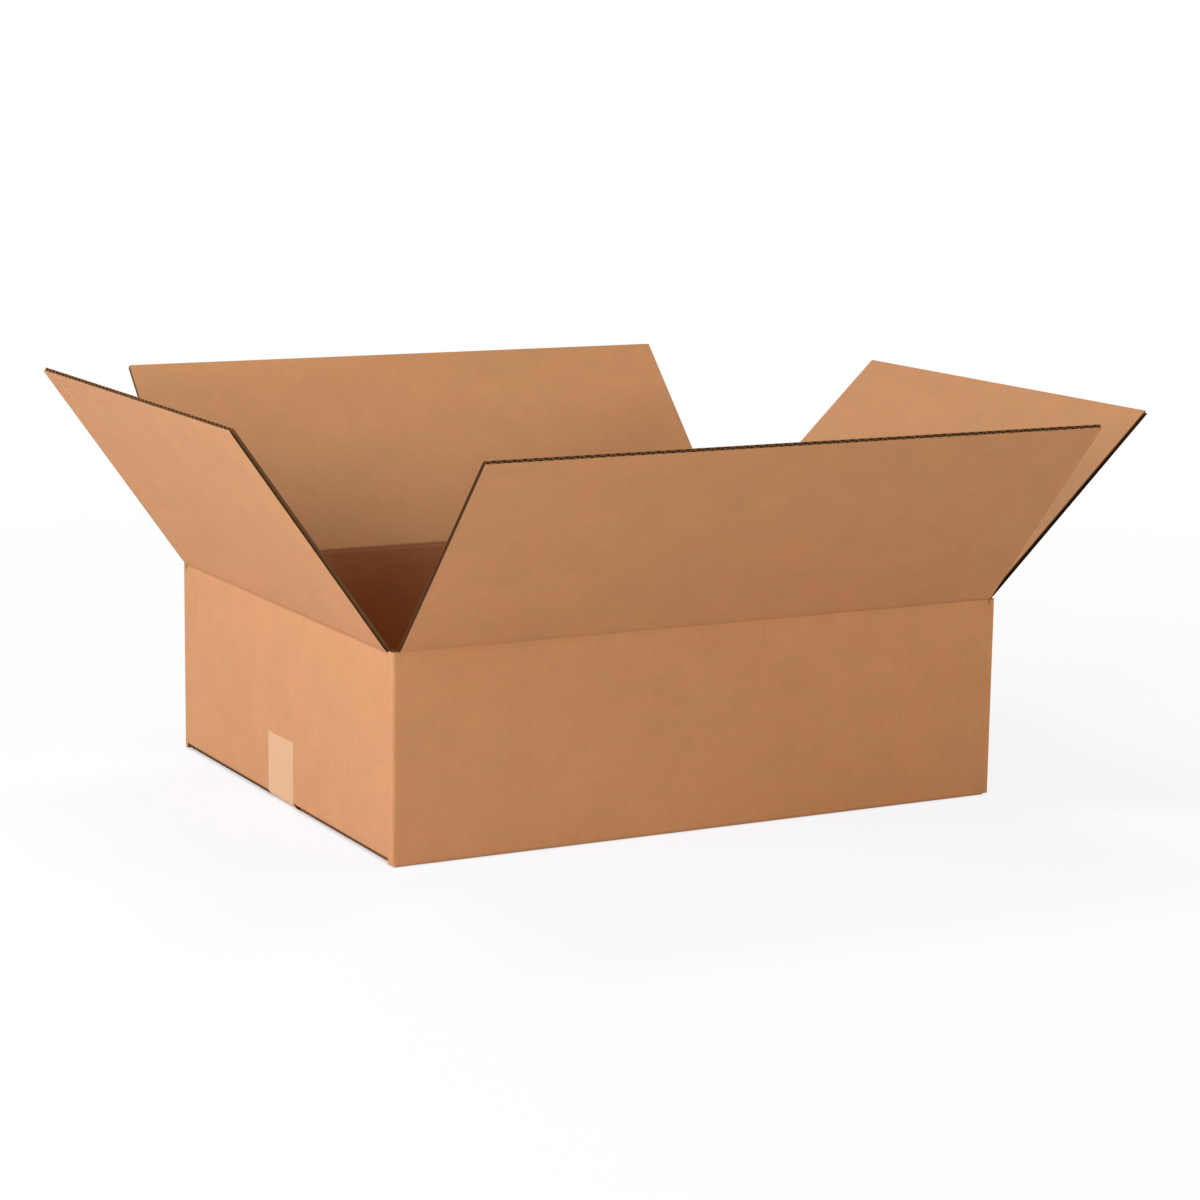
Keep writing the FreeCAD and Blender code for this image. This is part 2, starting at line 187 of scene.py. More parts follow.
class Board:
    """Collects the faces of one piece of corrugated board."""

    def __init__(self):
        self.points, self.quads, self.kinds, self.sheet, self.layers = [], [], [], [], []
        self.count = 0

    def layer(self, u, v, keep, low, high, place, kinds, carried=None, shift=0.0, which=0):
        """One closed layer between the heights low and high over the cells in keep.
        kinds are the materials of its low and its high face, of its cuts along the flutes and
        of its cuts across them. carried gives the sides (0 and 1 at the ends of u, 2 and 3 at
        the ends of v) where another sheet goes on, so nothing closes it. shift moves the low
        face aside on the texture. which numbers the layer, as only its own points are merged."""
        uu, vv = np.meshgrid(u, v, indexing="ij")
        nu, nv = uu.shape
        self.points += [place(uu, vv, low).reshape(-1, 3), place(uu, vv, high).reshape(-1, 3)]
        flat = np.stack([uu.ravel() * MM, vv.ravel() * MM], 1)
        self.sheet += [flat + [0, shift], flat]
        self.layers.append(np.full(2 * nu * nv, which))
        index = np.arange(nu * nv).reshape(nu, nv) + self.count
        up = nu * nv
        self.count += 2 * up
        a, b = index[:-1, :-1], index[1:, :-1]
        c, d = index[1:, 1:], index[:-1, 1:]
        self.add(np.stack([a, b, c, d], -1)[keep], kinds[0])
        self.add(np.stack([d, c, b, a], -1)[keep] + up, kinds[1])
        wide = np.pad(keep, 1)
        free = [~wide[:-2, 1:-1], ~wide[2:, 1:-1], ~wide[1:-1, :-2], ~wide[1:-1, 2:]]
        for side, cells in (carried or {}).items():
            free[side] = free[side] & ~cells(u, v)
        ends = ((a, d), (c, b), (b, a), (d, c))
        for edge, (p, q), kind in zip(free, ends, (kinds[2], kinds[2], kinds[3], kinds[3])):
            side = np.stack([p, q, q + up, p + up], -1)
            self.add(side[keep & edge], kind)

    def add(self, quads, kind):
        self.quads.append(quads.reshape(-1, 4))
        self.kinds.append(np.full(len(self.quads[-1]), kind))

    def board(self, u, v, fine_u, fine_v, faces, place, cells=everywhere, carried=None):
        """Both liners, and the fluted medium between them on its own finer steps. faces are
        the functions of the inner and the outer face, and cells says what is board."""
        inner, outer = faces
        keep, fine_keep = cells(u, v), cells(fine_u, fine_v)
        uu, vv = np.meshgrid(u, v, indexing="ij")
        low, high = inner(uu, vv), outer(uu, vv)
        kinds = (SHADED_CORE, SKIN, SHADED_CORE, CUT)
        self.layer(u, v, keep, high - LINER, high, place, kinds, carried)
        kinds = (SKIN, SHADED_CORE, SHADED_CORE, CUT)
        self.layer(u, v, keep, low, low + LINER, place, kinds, carried, LINING_SHIFT, which=1)
        uu, vv = np.meshgrid(fine_u, fine_v, indexing="ij")
        low, high = inner(uu, vv) + LINER, outer(uu, vv) - LINER
        swing = (high - low - MEDIUM) / 2
        turn = math.tau * uu / PITCH
        slope = swing * math.tau / PITCH * np.cos(turn)
        half = MEDIUM / 2 * np.sqrt(1 + slope**2)
        middle = (low + high) / 2 + swing * np.sin(turn)
        room = np.minimum(middle - low, high - middle)
        half = np.minimum(half, np.maximum(room, MEDIUM / 2))
        low, high = middle - half, middle + half
        kinds = (SHADED_CORE, SHADED_CORE, SHADED_CORE, CUT)
        self.layer(fine_u, fine_v, fine_keep, low, high, place, kinds, carried, which=2)

    def make(self, name, materials):
        """The piece as an object, with the points that lie together in one layer merged."""
        points = np.concatenate(self.points)
        quads = np.concatenate(self.quads)
        kinds = np.concatenate(self.kinds)
        loops = np.concatenate(self.sheet)[quads.ravel()]
        used, inverse = np.unique(quads, return_inverse=True)
        quads = inverse.reshape(-1, 4)
        layers = np.concatenate(self.layers)[used]
        keys = np.column_stack([np.round(points[used] / SAME_POINT), layers])
        _, first, same = np.unique(keys, axis=0, return_index=True, return_inverse=True)
        points, quads = points[used][first], same.ravel()[quads]
        mesh = bpy.data.meshes.new(name)
        mesh.from_pydata((points * MM).tolist(), [], quads.tolist())
        layer = mesh.uv_layers.new(name="sheet")
        layer.data.foreach_set("uv", loops.astype(np.float32).ravel())
        mesh.polygons.foreach_set("material_index", kinds.astype(np.int32))
        for material in materials:
            mesh.materials.append(material)
        mesh.validate()
        mesh.shade_smooth()
        mesh.set_sharp_from_angle(angle=SHARP_ANGLE)
        piece = bpy.data.objects.new(name, mesh)
        bpy.context.scene.collection.objects.link(piece)
        return piece


# Where a point of the blank lies on the folded carton.

def inward(point):
    """The inner face's point across the board from a point of a wall's outer face."""
    x, y = point
    if abs(x) == HALF_X:
        return math.copysign(HALF_X - BOARD, x), y
    return x, math.copysign(HALF_Y - BOARD, y)


def ring_path():
    """The walls' outer and inner line from above, as rows (u, outer x, y, inner x, y)."""
    rows = [(0, HALF_X, RAW_EDGE, HALF_X - BOARD, RAW_EDGE)]
    lead_x, lead_y = HALF_X - FOLD - PANEL_X, HALF_Y - FOLD - PANEL_Y
    # each corner: u where its arc starts, signs of x and y, first angle, flat lengths
    # before and after the arc, and the ends of the two panels
    corners = (
        (U_ARC_1, 1, -1, 0, lead_y, lead_x, (HALF_X, -PANEL_Y), (PANEL_X, -HALF_Y)),
        (U_ARC_2, -1, -1, -90, lead_x, lead_y, (-PANEL_X, -HALF_Y), (-HALF_X, -PANEL_Y)),
        (U_ARC_3, -1, 1, -180, lead_y, lead_x, (-HALF_X, PANEL_Y), (-PANEL_X, HALF_Y)),
    )
    for u, sx, sy, start, lead, tail, before, after in corners:
        rows.append((u - lead, *before, *inward(before)))
        for k in range(9):
            a = math.radians(start - 90 * k / 8)
            cos, sin = math.cos(a), math.sin(a)
            outer = (sx * (HALF_X - FOLD) + FOLD * cos, sy * (HALF_Y - FOLD) + FOLD * sin)
            ix, iy = HALF_X - BOARD - INNER_FOLD, HALF_Y - BOARD - INNER_FOLD
            inner = (sx * ix + INNER_FOLD * cos, sy * iy + INNER_FOLD * sin)
            rows.append((u + ARC * k / 8, *outer, *inner))
        rows.append((u + ARC + tail, *after, *inward(after)))
    rows.append((U_BACK + PANEL_X, PANEL_X, HALF_Y, PANEL_X, HALF_Y - BOARD))
    fold_x = HALF_X - BOARD - JOINT_RADIUS
    for k in range(7):
        a = math.radians(90 - 90 * k / 6)
        x = fold_x + JOINT_RADIUS * math.cos(a)
        y = HALF_Y - JOINT_RADIUS + JOINT_RADIUS * math.sin(a)
        u = U_BACK + fold_x + JOINT_ARC * k / 6
        rows.append((u, x, y, PANEL_X + 0.3 + 0.1 * k, HALF_Y - BOARD))
    rows.append((U_END, HALF_X - BOARD, HALF_Y - BOARD + 0.5, HALF_X - BOARD - 0.4, HALF_Y - BOARD))
    return np.array(rows).T


RING = ring_path()


def place_ring(u, v, n):
    outer_x, outer_y, inner_x, inner_y = (np.interp(u, RING[0], RING[k]) for k in (1, 2, 3, 4))
    t = n / BOARD
    return np.stack([inner_x + (outer_x - inner_x) * t, inner_y + (outer_y - inner_y) * t, v], -1)


def panel_place(wall, profile):
    """A placing function for a wall whose profile gives (outward, up) from (v, n)."""
    yaw = math.radians(wall.yaw)
    out_x, out_y = round(math.cos(yaw)), round(math.sin(yaw))
    along_x, along_y = out_y, -out_x

    def place(u, v, n):
        out, up = profile(v, n)
        s = u - wall.middle
        return np.stack([along_x * s + out_x * out, along_y * s + out_y * out, up], -1)

    return place


def crease_profile(wall):
    """Across a top score: the wall below it, the flap above it, and the bend at rest, which
    goes as far as reach to each side of the score."""
    turn = math.radians(wall.angle)
    reach = 1.5
    radius = reach / math.tan(turn / 2)

    def profile(v, n):
        s, m = v - wall.score, n - wall.depth
        a = turn * np.clip((s + reach) / (2 * reach), 0, 1)
        past = np.maximum(s - reach, 0)
        out = radius * (1 - np.cos(a)) + past * math.sin(turn)
        up = np.minimum(s, -reach) + radius * np.sin(a) + past * math.cos(turn)
        return wall.face - BOARD + wall.depth + out + m * np.cos(a), wall.score + up - m * np.sin(a)

    return profile


def bottom_profile(wall):
    """From a wall's foot through the bottom fold to the end of its bottom flap."""
    fold = wall.foot + FOLD
    flat = fold - ARC
    last = flat - (wall.face - FOLD - wall.end)

    def profile(v, n):
        a = np.clip((fold - v) / ARC, 0, 1) * math.pi / 2
        run = np.clip((flat - v) / (flat - last), 0, 1)
        rise = np.clip((v - fold) / (wall.joint - fold), 0, 1)
        out_o = wall.face - FOLD + FOLD * np.cos(a) - run * (wall.face - FOLD - wall.end)
        up_o = fold - FOLD * np.sin(a) + rise * (wall.joint - fold)
        in_out = wall.face - BOARD - INNER_FOLD
        in_up = wall.foot + BOARD + INNER_FOLD
        out_i = in_out + INNER_FOLD * np.cos(a) - run * (in_out - wall.end)
        up_i = in_up - INNER_FOLD * np.sin(a) + rise * (wall.joint - in_up)
        t = n / BOARD
        return out_i + (out_o - out_i) * t, up_i + (up_o - up_i) * t

    return profile, flat, last


def place_tab(u, v, n):
    """The glued tab inside the right wall: u from its fold, v up from 0 to TAB_SPAN."""
    share = (u - U_END) / TAB_LENGTH
    low, high = TAB_LOW + TAB_CUT * share, TAB_TOP - TAB_CUT * share
    z = low + (high - low) * v / TAB_SPAN
    return np.stack([TAB_FACE - BOARD + n, TAB_ROOT - (u - U_END), z], -1)


def tape_line():
    """The tape's outer line from the seam's middle to its end on an end wall, as (s, x, z)."""
    points = [(0.0, 0.0)]
    for before, here, after in zip(TAPE_CORNERS, TAPE_CORNERS[1:], TAPE_CORNERS[2:]):
        a = (Vector(before) - Vector(here)).normalized() * TAPE_BEND
        b = (Vector(after) - Vector(here)).normalized() * TAPE_BEND
        for k in range(7):
            t = k / 6
            point = Vector(here) + a * (1 - t) ** 2 + b * t**2
            points.append((point.x, point.y))
    points.append(TAPE_CORNERS[-1])
    points = np.array(points)
    s = np.concatenate([[0], np.cumsum(np.hypot(*np.diff(points, axis=0).T))])
    return s, points


TAPE_S, TAPE_XZ = tape_line()
TAPE_END = TAPE_S[-1]


def place_tape(u, v, n):
    """u runs along the tape from the middle of the seam, v across it, n out from the board.
    The torn ends have teeth and a slow swing."""
    across = v - TAPE_V
    tooth = np.abs(((across / TOOTH_WIDTH) % 1) - 0.5) * 2
    share = fade(np.abs(u), TAPE_END - TOOTH_ROOM, TAPE_END)
    far = np.abs(u) - share * (TOOTH_DEPTH * tooth + SWING * np.sin(across / SWING_LENGTH) + SWING)
    behind, ahead = far - 0.4, far + 0.4

    def along(s, k):
        return np.interp(s, TAPE_S, TAPE_XZ[:, k])

    run = along(ahead, 0) - along(behind, 0)
    rise = along(ahead, 1) - along(behind, 1)
    size = np.maximum(np.hypot(run, rise), 1e-6)
    deep = TAPE_THICK - n
    x = along(far, 0) - deep * rise / size
    z = along(far, 1) + deep * run / size
    return np.stack([np.sign(u) * x, across, z], -1)


# The two faces of the board: flat, softly uneven, pressed in at scores and cuts.

def wall_warp(u, v):
    """How far a wall bows out or in, fading out at its folds and where the tape sticks."""
    edge = np.zeros(np.broadcast(u, v).shape)
    for wall in WALLS.values():
        edge = np.maximum(edge, wall.panel - np.abs(u - wall.middle))
    taped = np.minimum(np.abs(u - U_LEFT), np.abs(u - U_RIGHT))
    tape = np.maximum(fade(taped, 30, 60), fade(v, 62, 90))
    bow = WALL_BOW * waves(u, v, WALL_SEED)
    return bow * fade(edge, 4, 60) * fade(v, 16, 50) * fade(145 - v, 0, 40) * tape


def wall_inner(u, v):
    return wall_warp(u, v)


def wall_outer(u, v):
    return BOARD + wall_warp(u, v)


def flap_warp(wall, u, v):
    """How far a flap bows: the long flaps outward and the end flaps inward, so that the
    closed flaps lie on each other without touching."""
    d = v - wall.score
    ends = fade(wall.flap - np.abs(u - wall.middle), -8, 50) * fade(FLAP_LENGTH - d, 0, 60)
    side = FLAP_BOW if wall.face == HALF_Y else -FLAP_BOW
    return side * fade(waves(u, v, FLAP_SEED), -1.2, 1.2) * fade(d, BAND, 70) * ends


def faces_of_flap(wall):
    def pinch(u, v):
        tip = FLAP_LENGTH - (v - wall.score)
        side = wall.flap - np.abs(u - wall.middle)
        return TIP_PINCH * np.exp(-tip / CUT_WIDTH) + SIDE_PINCH * np.exp(-side / SIDE_WIDTH)

    def inner(u, v):
        return pinch(u, v) + flap_warp(wall, u, v)

    def outer(u, v):
        return BOARD - pinch(u, v) + flap_warp(wall, u, v)

    return inner, outer


def faces_of_crease(wall):
    def ends(u, s):
        side = wall.flap - np.abs(u - wall.middle)
        return SIDE_PINCH * np.exp(-side / SIDE_WIDTH) * fade(s, -0.5, 3)

    def inner(u, v):
        s = v - wall.score
        share, speed = INNER_WAVER
        uneven = 1 + share * waves(u * speed, v * 0, INNER_SEED)
        return dent(s + 0.9, *INNER_GROOVE) * uneven + ends(u, s)

    def outer(u, v):
        s = v - wall.score
        share, speed = OUTER_WAVER
        uneven = 1 + share * waves(u * speed, v * 0, OUTER_SEED)
        return BOARD - dent(s - 0.1, *OUTER_GROOVE) * uneven - ends(u, s)

    return inner, outer


def faces_of_bottom(last, seat):
    """A bottom flap is pinched at its cut end, and a long one sunk under the tape, past seat."""
    def pinch(u, v):
        return BOTTOM_PINCH * np.exp(-(v - last) / CUT_WIDTH) + np.zeros(np.broadcast(u, v).shape)

    def outer(u, v):
        sunk = 0.0 if seat is None else np.where(v < seat - SEAT_EDGE / 2, TAPE_SEAT, 0.0)
        return BOARD - sunk - pinch(u, v)

    return pinch, outer


def tab_inner(u, v):
    return TAB_PINCH * np.exp(-(U_END + TAB_LENGTH - u) / TAB_WIDTH)


def tab_outer(u, v):
    return np.full(np.broadcast(u, v).shape, BOARD)


# Materials.

def plug(tree, value, socket):
    """Links a node's output into a socket, or sets the socket to a plain value."""
    if isinstance(value, bpy.types.NodeSocket):
        tree.links.new(value, socket)
    else:
        socket.default_value = value


def node(tree, kind, inputs=None, **settings):
    made = tree.nodes.new(kind)
    for key, value in settings.items():
        setattr(made, key, value)
    for key, value in (inputs or {}).items():
        plug(tree, value, made.inputs[key])
    return made


def maths(tree, operation, *values):
    made = node(tree, "ShaderNodeMath", dict(enumerate(values)), operation=operation)
    return made.outputs[0]


def total(tree, *values):
    result = values[0]
    for value in values[1:]:
        result = maths(tree, "ADD", result, value)
    return result


def new_material(name):
    material = bpy.data.materials.new(name)
    material.use_nodes = True
    tree = material.node_tree
    tree.nodes.clear()
    out = tree.nodes.new("ShaderNodeOutputMaterial")
    shader = tree.nodes.new("ShaderNodeBsdfPrincipled")
    tree.links.new(shader.outputs[0], out.inputs[0])
    return material, tree, shader


def noise(tree, vector, scale, detail, rough):
    inputs = {"Vector": vector, "Scale": scale, "Detail": detail, "Roughness": rough}
    return node(tree, "ShaderNodeTexNoise", inputs).outputs["Fac"]


def span(tree, value, low, high, new_low, new_high):
    inputs = {"Value": value, "From Min": low, "From Max": high, "To Min": new_low, "To Max": new_high}
    return node(tree, "ShaderNodeMapRange", inputs).outputs["Result"]


def stretched(tree, vector, x, y, turn=0.0):
    inputs = {"Vector": vector, "Scale": (x, y, 1), "Rotation": (0, 0, turn)}
    return node(tree, "ShaderNodeMapping", inputs).outputs[0]


def mixed(tree, share, first, second, blend="MIX"):
    """Mixes two colours: the colour sockets of this node are 6 and 7, and its output is 2."""
    inputs = {0: share, 6: first, 7: second}
    return node(tree, "ShaderNodeMix", inputs, data_type="RGBA", blend_type=blend).outputs[2]


def sheet_map(tree):
    return node(tree, "ShaderNodeUVMap", uv_map="sheet").outputs[0]


def bump(tree, height, shader):
    made = node(tree, "ShaderNodeBump", {"Strength": 1.0, "Distance": MM, "Height": height})
    tree.links.new(made.outputs[0], shader.inputs["Normal"])


def kraft(name, tone, warm, fleck, flute_depth, roughness):
    """Brown kraft paper: cloudy pulp, lighter and darker fibres, and faint flute lines: bands of painted
    light and shade along the flutes, beside their bump.
    """
    material, tree, shader = new_material(name)
    sheet = sheet_map(tree)
    cloud = noise(tree, sheet, 26, 3, 0.55)
    mottle = noise(tree, stretched(tree, sheet, 1.0, 0.7), 120, 3, 0.6)
    drift = noise(tree, stretched(tree, sheet, 1.0, 1.0, 0.6), 7, 2, 0.5)
    hue = noise(tree, stretched(tree, sheet, 0.8, 1.0, 0.3), 62, 2, 0.5)
    hue = total(tree, maths(tree, "MULTIPLY", hue, 0.6), maths(tree, "MULTIPLY", drift, 0.4))
    fibre = noise(tree, stretched(tree, sheet, 0.22, 1.0, 0.15), 2600, 2, 0.6)
    hair = noise(tree, stretched(tree, sheet, 1.0, 0.16, 0.5), 1900, 1, 0.5)
    grain = noise(tree, sheet, 4200, 2, 0.6)
    u = node(tree, "ShaderNodeSeparateXYZ", {"Vector": sheet}).outputs[0]
    flute = maths(tree, "SINE", maths(tree, "MULTIPLY", u, math.tau / (PITCH * MM)))
    colour = mixed(tree, span(tree, hue, 0.40, 0.60, 0, 1), tone, warm)
    light = span(tree, cloud, 0.3, 0.7, 0.967, 1.031)
    for part in (
        span(tree, mottle, 0.3, 0.7, 0.970, 1.030),
        span(tree, fibre, 0.62, 0.78, 1.0, 1.0 - fleck),
        span(tree, hair, 0.66, 0.80, 1.0, 1.0 + fleck * 0.8),
        span(tree, grain, 0.25, 0.75, 0.985, 1.015),
        # painted light and shade: faint bands along the flutes, as the flute relief shades the liner
        span(tree, flute, -1, 1, 0.994, 1.006),
    ):
        light = maths(tree, "MULTIPLY", light, part)
    shade = node(tree, "ShaderNodeCombineColor", {"Red": light, "Green": light, "Blue": light})
    colour = mixed(tree, 1.0, colour, shade.outputs[0], "MULTIPLY")
    tree.links.new(colour, shader.inputs["Base Color"])
    rough = span(tree, mottle, 0.3, 0.7, roughness - 0.05, roughness + 0.05)
    tree.links.new(rough, shader.inputs["Roughness"])
    height = total(
        tree, maths(tree, "MULTIPLY", flute, flute_depth), maths(tree, "MULTIPLY", grain, 0.030),
        maths(tree, "MULTIPLY", mottle, 0.05), maths(tree, "MULTIPLY", fibre, 0.022),
    )
    bump(tree, height, shader)
    shader.inputs["Specular IOR Level"].default_value = 0.22
    return material


def packing_tape():
    """Smooth buff film with a faint grain along its length."""
    material, tree, shader = new_material("buff_tape")
    sheet = sheet_map(tree)
    patch = noise(tree, sheet, 60, 3, 0.55)
    film = noise(tree, stretched(tree, sheet, 1.0, 6.0), 900, 2, 0.5)
    share = span(tree, patch, 0.35, 0.65, 0, 1)
    colour = mixed(tree, share, (0.560, 0.316, 0.164, 1), (0.580, 0.332, 0.176, 1))
    tree.links.new(colour, shader.inputs["Base Color"])
    tree.links.new(span(tree, film, 0.3, 0.7, 0.36, 0.48), shader.inputs["Roughness"])
    bump(tree, total(tree, maths(tree, "MULTIPLY", patch, 0.05), maths(tree, "MULTIPLY", film, 0.01)), shader)
    shader.inputs["Specular IOR Level"].default_value = 0.5
    return material


def floor_paper():
    """A pale floor that shows white to the camera and keeps a faint shadow. The share of its
    own white light is 0.86 near the carton and 1 from 1.6 m on."""
    material, tree, shader = new_material("pale_floor")
    shader.inputs["Base Color"].default_value = (0.86, 0.86, 0.86, 1)
    shader.inputs["Roughness"].default_value = 0.9
    shader.inputs["Specular IOR Level"].default_value = 0.1
    spot = node(tree, "ShaderNodeNewGeometry").outputs["Position"]
    reach = node(tree, "ShaderNodeVectorMath", {0: spot}, operation="LENGTH").outputs["Value"]
    glow = node(tree, "ShaderNodeEmission", {"Color": (1, 1, 1, 1), "Strength": 1.0})
    share = maths(tree, "MULTIPLY", span(tree, reach, 0.45, 1.6, 0.86, 1.0), backdrop_rays(tree))
    across = node(tree, "ShaderNodeSeparateXYZ", {"Vector": spot})
    clear = [  # 0 under the carton, where the floor is dark, and 1 outside it
        span(tree, maths(tree, "ABSOLUTE", across.outputs[k]), half * MM - 0.006, half * MM - 0.001, 0, 1)
        for k, half in ((0, HALF_X), (1, HALF_Y))
    ]
    share = maths(tree, "MULTIPLY", share, maths(tree, "MAXIMUM", *clear))
    paper = node(tree, "ShaderNodeMixShader", {0: share, 1: shader.outputs[0], 2: glow.outputs[0]})
    tree.links.new(paper.outputs[0], tree.nodes["Material Output"].inputs[0])
    return material


def backdrop_rays(tree):
    """1 for the rays that see the background: the camera's, and those of gloss and glass."""
    rays = tree.nodes.new("ShaderNodeLightPath")
    shiny = maths(tree, "MAXIMUM", rays.outputs["Is Glossy Ray"], rays.outputs["Is Transmission Ray"])
    return maths(tree, "MAXIMUM", rays.outputs["Is Camera Ray"], shiny)


# The carton: walls, corner columns, glued tab and bottom flaps.

def ring_cells(u, v):
    """Which cells of the ring of walls are board: the panels, and the corner columns."""
    mid_u = (u[1:] + u[:-1])[:, None] / 2
    mid_v = (v[1:] + v[:-1])[None, :] / 2
    keep = everywhere(u, v)
    for wall in WALLS.values():
        panel = np.abs(mid_u - wall.middle) < wall.panel
        keep &= ~(panel & ((mid_v < wall.joint) | (mid_v > wall.score - BAND)))
    return keep


def on_panel(u, v):
    """The cells of the ring that lie on a wall's panel, where the bottom flap goes on below."""
    mid_u = (u[1:] + u[:-1])[:, None] / 2
    found = ~everywhere(u, v)
    for wall in WALLS.values():
        found |= np.abs(mid_u - wall.middle) < wall.panel
    return found


def ring_marks():
    """Places in u where the ring needs a step: panel ends, corner arcs and the glued fold."""
    marks = []
    for wall in WALLS.values():
        for side in (-1, 1):
            marks += [wall.middle + side * (wall.panel - k) for k in (0, 1, 4, 12)]
    for start in (U_ARC_1, U_ARC_2, U_ARC_3):
        marks += [start + ARC * k / 8 for k in range(9)]
    return marks + list(RING[0][-8:])


def add_ring(carton, marks):
    rows, few_rows = np.array(WALL_ROWS), np.array(MEDIUM_ROWS)
    panel_ends = [wall.middle + side * wall.panel for wall in WALLS.values() for side in (-1, 1)]
    u = steps(0, U_END, SHEET_STEP, marks)
    fine_u = steps(0, U_END, WALL_FLUTE, panel_ends)
    carton.board(
        u, rows, fine_u, few_rows, (wall_inner, wall_outer), place_ring, ring_cells, {2: on_panel},
    )


def add_bottom_flap(carton, wall, marks):
    profile, flat, last = bottom_profile(wall)
    low, high = wall.middle - wall.panel, wall.middle + wall.panel
    bend = [flat + ARC * k / 6 for k in range(7)]
    seat, sunk = None, []
    if wall.face == HALF_Y:
        seat = flat - (HALF_Y - FOLD - TAPE_HALF - TAPE_ROOM)
        sunk = [seat, seat - SEAT_EDGE]
    past_fold = wall.foot + FOLD + 2
    v = steps(last, wall.joint, NO_STEP, bend + [past_fold, flat - 12, last + 3, last + 1] + sunk)
    fine_v = steps(last, wall.joint, NO_STEP, bend[::2] + [last + 8] + sunk)
    carton.board(
        steps(low, high, SHEET_STEP, marks), v, steps(low, high, WALL_FLUTE), fine_v,
        faces_of_bottom(last, seat), panel_place(wall, profile), carried={3: everywhere},
    )


def add_tab(carton):
    end = U_END + TAB_LENGTH
    u = steps(U_END, end, SHEET_STEP, [U_END + k for k in (25, 30, 33, 34)])
    v = np.array(TAB_ROWS)
    fine_u = steps(U_END, end, TAB_FLUTE)
    fine_v = np.array([0.0, TAB_SPAN])
    carton.board(u, v, fine_u, fine_v, (tab_inner, tab_outer), place_tab)


def make_carton(papers):
    carton = Board()
    marks = ring_marks()
    add_ring(carton, marks)
    for wall in WALLS.values():
        add_bottom_flap(carton, wall, marks)
    add_tab(carton)
    walls = carton.make("carton_board", papers)
    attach(walls, "carton")
    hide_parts("carton_body")


# The four top flaps and their creases.

def make_flap(name, wall, u, place, papers):
    tip = wall.score + FLAP_LENGTH
    v = steps(wall.score + BAND, tip, FLAP_STEP, [tip - k for k in NEAR_TIP])
    fine_u = steps(wall.middle - wall.flap, wall.middle + wall.flap, FLAP_FLUTE)
    fine_v = wall.score + np.array(FLAP_ROWS)
    flap = Board()
    flap.board(u, v, fine_u, fine_v, faces_of_flap(wall), place)
    piece = flap.make(name + "_flap_board", papers)
    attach(piece, name + "_flap")
    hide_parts(name + "_flap")


def make_crease(name, wall, u, place, papers):
    """The strip along a score, which bends between the wall and its flap. Below the score it
    is as wide as the wall's panel, and above it as wide as the flap."""
    grow = wall.panel / wall.flap - 1

    def widened(u, v, n):
        share = 1 + grow * fade(wall.score - v, -0.4, 0.2)
        return place(wall.middle + (u - wall.middle) * share, v, n)

    v = wall.score + np.array([-BAND] + [-k for k in reversed(NEAR_SCORE)] + [0] + NEAR_SCORE + [BAND])
    fine_u = steps(wall.middle - wall.flap, wall.middle + wall.flap, CREASE_FLUTE)
    fine_v = wall.score + np.array(CREASE_ROWS)
    crease = Board()
    crease.board(u, v, fine_u, fine_v, faces_of_crease(wall), widened)
    piece = crease.make(name + "_crease_board", papers)
    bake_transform(piece)


def make_flaps(papers):
    for name, wall in WALLS.items():
        place = panel_place(wall, crease_profile(wall))
        edges = [wall.middle + side * (wall.flap - k) for side in (-1, 1) for k in NEAR_SIDE]
        u = steps(wall.middle - wall.flap, wall.middle + wall.flap, SHEET_STEP, edges)
        make_flap(name, wall, u, place, papers)
        make_crease(name, wall, u, place, papers)


# The tape along the bottom seam.

def make_tape(film):
    near_end = [TAPE_END - k for k in NEAR_TAPE_END]
    half = np.concatenate([TAPE_ROWS, TAPE_S[1:-1], near_end])
    along = np.unique(np.concatenate([-half, half]))
    across = TAPE_V + np.arange(-TAPE_HALF, TAPE_HALF + 0.01, TAPE_STEP)
    low = np.zeros((len(along), len(across)))
    tape = Board()
    cells = everywhere(along, across)
    tape.layer(along, across, cells, low, low + TAPE_THICK, place_tape, (SKIN, SKIN, SKIN, SKIN))
    strip = tape.make("tape_strip", (film,))
    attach(strip, "carton")
    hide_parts("bottom_tape")


# Floor, background, light and camera.

FLOOR_SIZE, FLOOR_DROP, ROOM_LIGHT = 60, 0.0004, 0.016


def make_floor():
    bpy.ops.mesh.primitive_plane_add(size=FLOOR_SIZE, location=(0, 0, -FLOOR_DROP))
    floor = bpy.context.object
    floor.name = "floor"
    floor.data.materials.append(floor_paper())


def make_world():
    world = bpy.data.worlds.new("studio")
    bpy.context.scene.world = world
    world.use_nodes = True
    tree = world.node_tree
    tree.nodes.clear()
    room = node(tree, "ShaderNodeBackground", {"Color": (1, 1, 1, 1), "Strength": ROOM_LIGHT})
    white = node(tree, "ShaderNodeBackground", {"Color": (1, 1, 1, 1), "Strength": 1.0})
    inputs = {0: backdrop_rays(tree), 1: room.outputs[0], 2: white.outputs[0]}
    both = node(tree, "ShaderNodeMixShader", inputs)
    out = tree.nodes.new("ShaderNodeOutputWorld")
    tree.links.new(both.outputs[0], out.inputs[0])


# name: place, size, power, colour; all of them look at the carton
LAMPS = {
    "key_left": ((-2.4, -0.2, 1.5), (1.2, 0.8), 53, (1.0, 1.05, 1.14)),
    "key_corner": ((-1.9, -1.9, 0.75), (0.8, 0.6), 32.5, (1.0, 0.91, 0.74)),
    "fill_right": ((2.4, -1.2, 0.75), (1.0, 0.5), 36, (1.0, 0.93, 0.79)),
    "top_back": ((0.0, 0.9, 2.6), (1.0, 0.5), 28, (1.0, 1.02, 0.82)),
    "rear": ((0.9, 2.9, 0.75), (1.6, 0.5), 20, (1.0, 0.97, 0.90)),
    "rear_right": ((2.8, 1.0, 0.7), (1.2, 0.5), 13.8, (1.0, 0.97, 0.90)),
}
LAMP_AIM = Vector((0, 0, 0.15))


